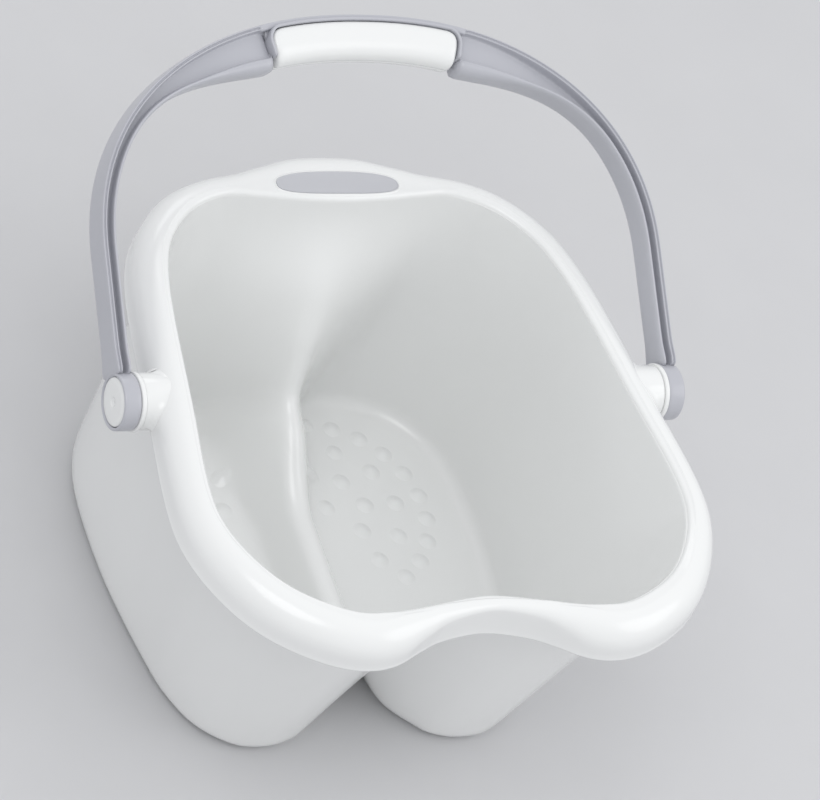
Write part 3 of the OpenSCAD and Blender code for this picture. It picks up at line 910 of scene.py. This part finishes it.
bm = bmesh.new()
circle = bmesh.ops.create_circle(bm, cap_ends=True, segments=PLATE_STEPS, radius=1)["verts"]
for k, vert in enumerate(circle):
    vert.co = plate_point(k, 0, plate_low.z)
raised = bmesh.ops.extrude_face_region(bm, geom=bm.faces[:])["geom"]
top = [f for f in raised if isinstance(f, bmesh.types.BMFace)]
bmesh.ops.translate(bm, verts=list({v for f in top for v in f.verts}),
                    vec=(0, 0, plate_high.z + PLATE_RISE - plate_low.z))
bmesh.ops.inset_region(bm, faces=top, thickness=0.35 * MM, depth=0.0)
bmesh.ops.inset_region(bm, faces=top, thickness=0.35 * MM, depth=-0.3 * MM)
bmesh.ops.recalc_face_normals(bm, faces=bm.faces)
piece("blank_nameplate", bm, plate_grey, "basin", ["nameplate"], smooth=False)

# %% [markdown]
# The moulding rises in a fine white bead round the plate.

# %% Bead round the nameplate
bm = bmesh.new()
bead = [(0.25, -0.6), (0.3, 0.15), (0.5, 0.4), (0.85, 0.45), (1.25, 0.3), (1.8, -0.1), (2.1, -0.6)]
skin(bm, [[plate_point(k, grow * MM, rim_z + rise * MM) for k in range(PLATE_STEPS)]
          for grow, rise in bead], capped=False)
bmesh.ops.recalc_face_normals(bm, faces=bm.faces)
piece("nameplate_bead", bm, tub_white, "basin", levels=1)

# %% [markdown]
# The pins, washers and screws, and the pad under the plate, hold the parts together out of
# sight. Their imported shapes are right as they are, so they only take a finish.

# %% Carried-over nodes
for name, node in frame["nodes"].items():
    if node.hide_render:
        continue
    node.data.materials.clear()
    node.data.materials.append(foam if name == "nameplate_pad" else steel)
    print("kept:", name)

# %% [markdown]
# ## Floor and light
#
# A wide pale floor, a large soft lamp high on the left, a larger and weaker one on the right,
# a small one behind and an even pale sky. Large lamps give a glossy moulding long soft
# highlights.

# %% Floor and lamps
def pale_floor():
    finish = Finish("pale_floor")
    grain = finish.noise(14, 3)
    return finish.done(
        Base_Color=finish.mix(grain, (0.62, 0.62, 0.63, 1), (0.59, 0.59, 0.60, 1)),
        Roughness=0.75)


bm = bmesh.new()
bmesh.ops.create_grid(bm, x_segments=2, y_segments=2, size=6,
                      matrix=Matrix.Translation((0, 0, -0.2 * MM)))
ground = bpy.data.meshes.new("ground")
bm.to_mesh(ground)
bm.free()
ground.materials.append(pale_floor())
floor = bpy.data.objects.new("floor", ground)
bpy.context.collection.objects.link(floor)


def lamp(name, spot, size, power):
    light = bpy.data.lights.new(name, "AREA")
    light.shape, light.size, light.energy = "DISK", size, power
    made = bpy.data.objects.new(name, light)
    made.location = spot
    made.rotation_euler = (Vector((0, 0, 0.1)) - Vector(spot)).to_track_quat("-Z", "Y").to_euler()
    bpy.context.collection.objects.link(made)


lamp("key_lamp", (-0.7, -0.7, 2.1), 1.3, 8.5)
lamp("fill_lamp", (1.6, -0.9, 1.5), 1.6, 7.5)
lamp("back_lamp", (0.2, 1.8, 1.6), 1.0, 3)
world = bpy.data.worlds.new("sky")
world.use_nodes = True
world.node_tree.nodes["Background"].inputs["Color"].default_value = (0.97, 0.98, 1, 1)
world.node_tree.nodes["Background"].inputs["Strength"].default_value = 0.85
bpy.context.scene.world = world
bpy.context.scene.view_settings.view_transform = "Standard"
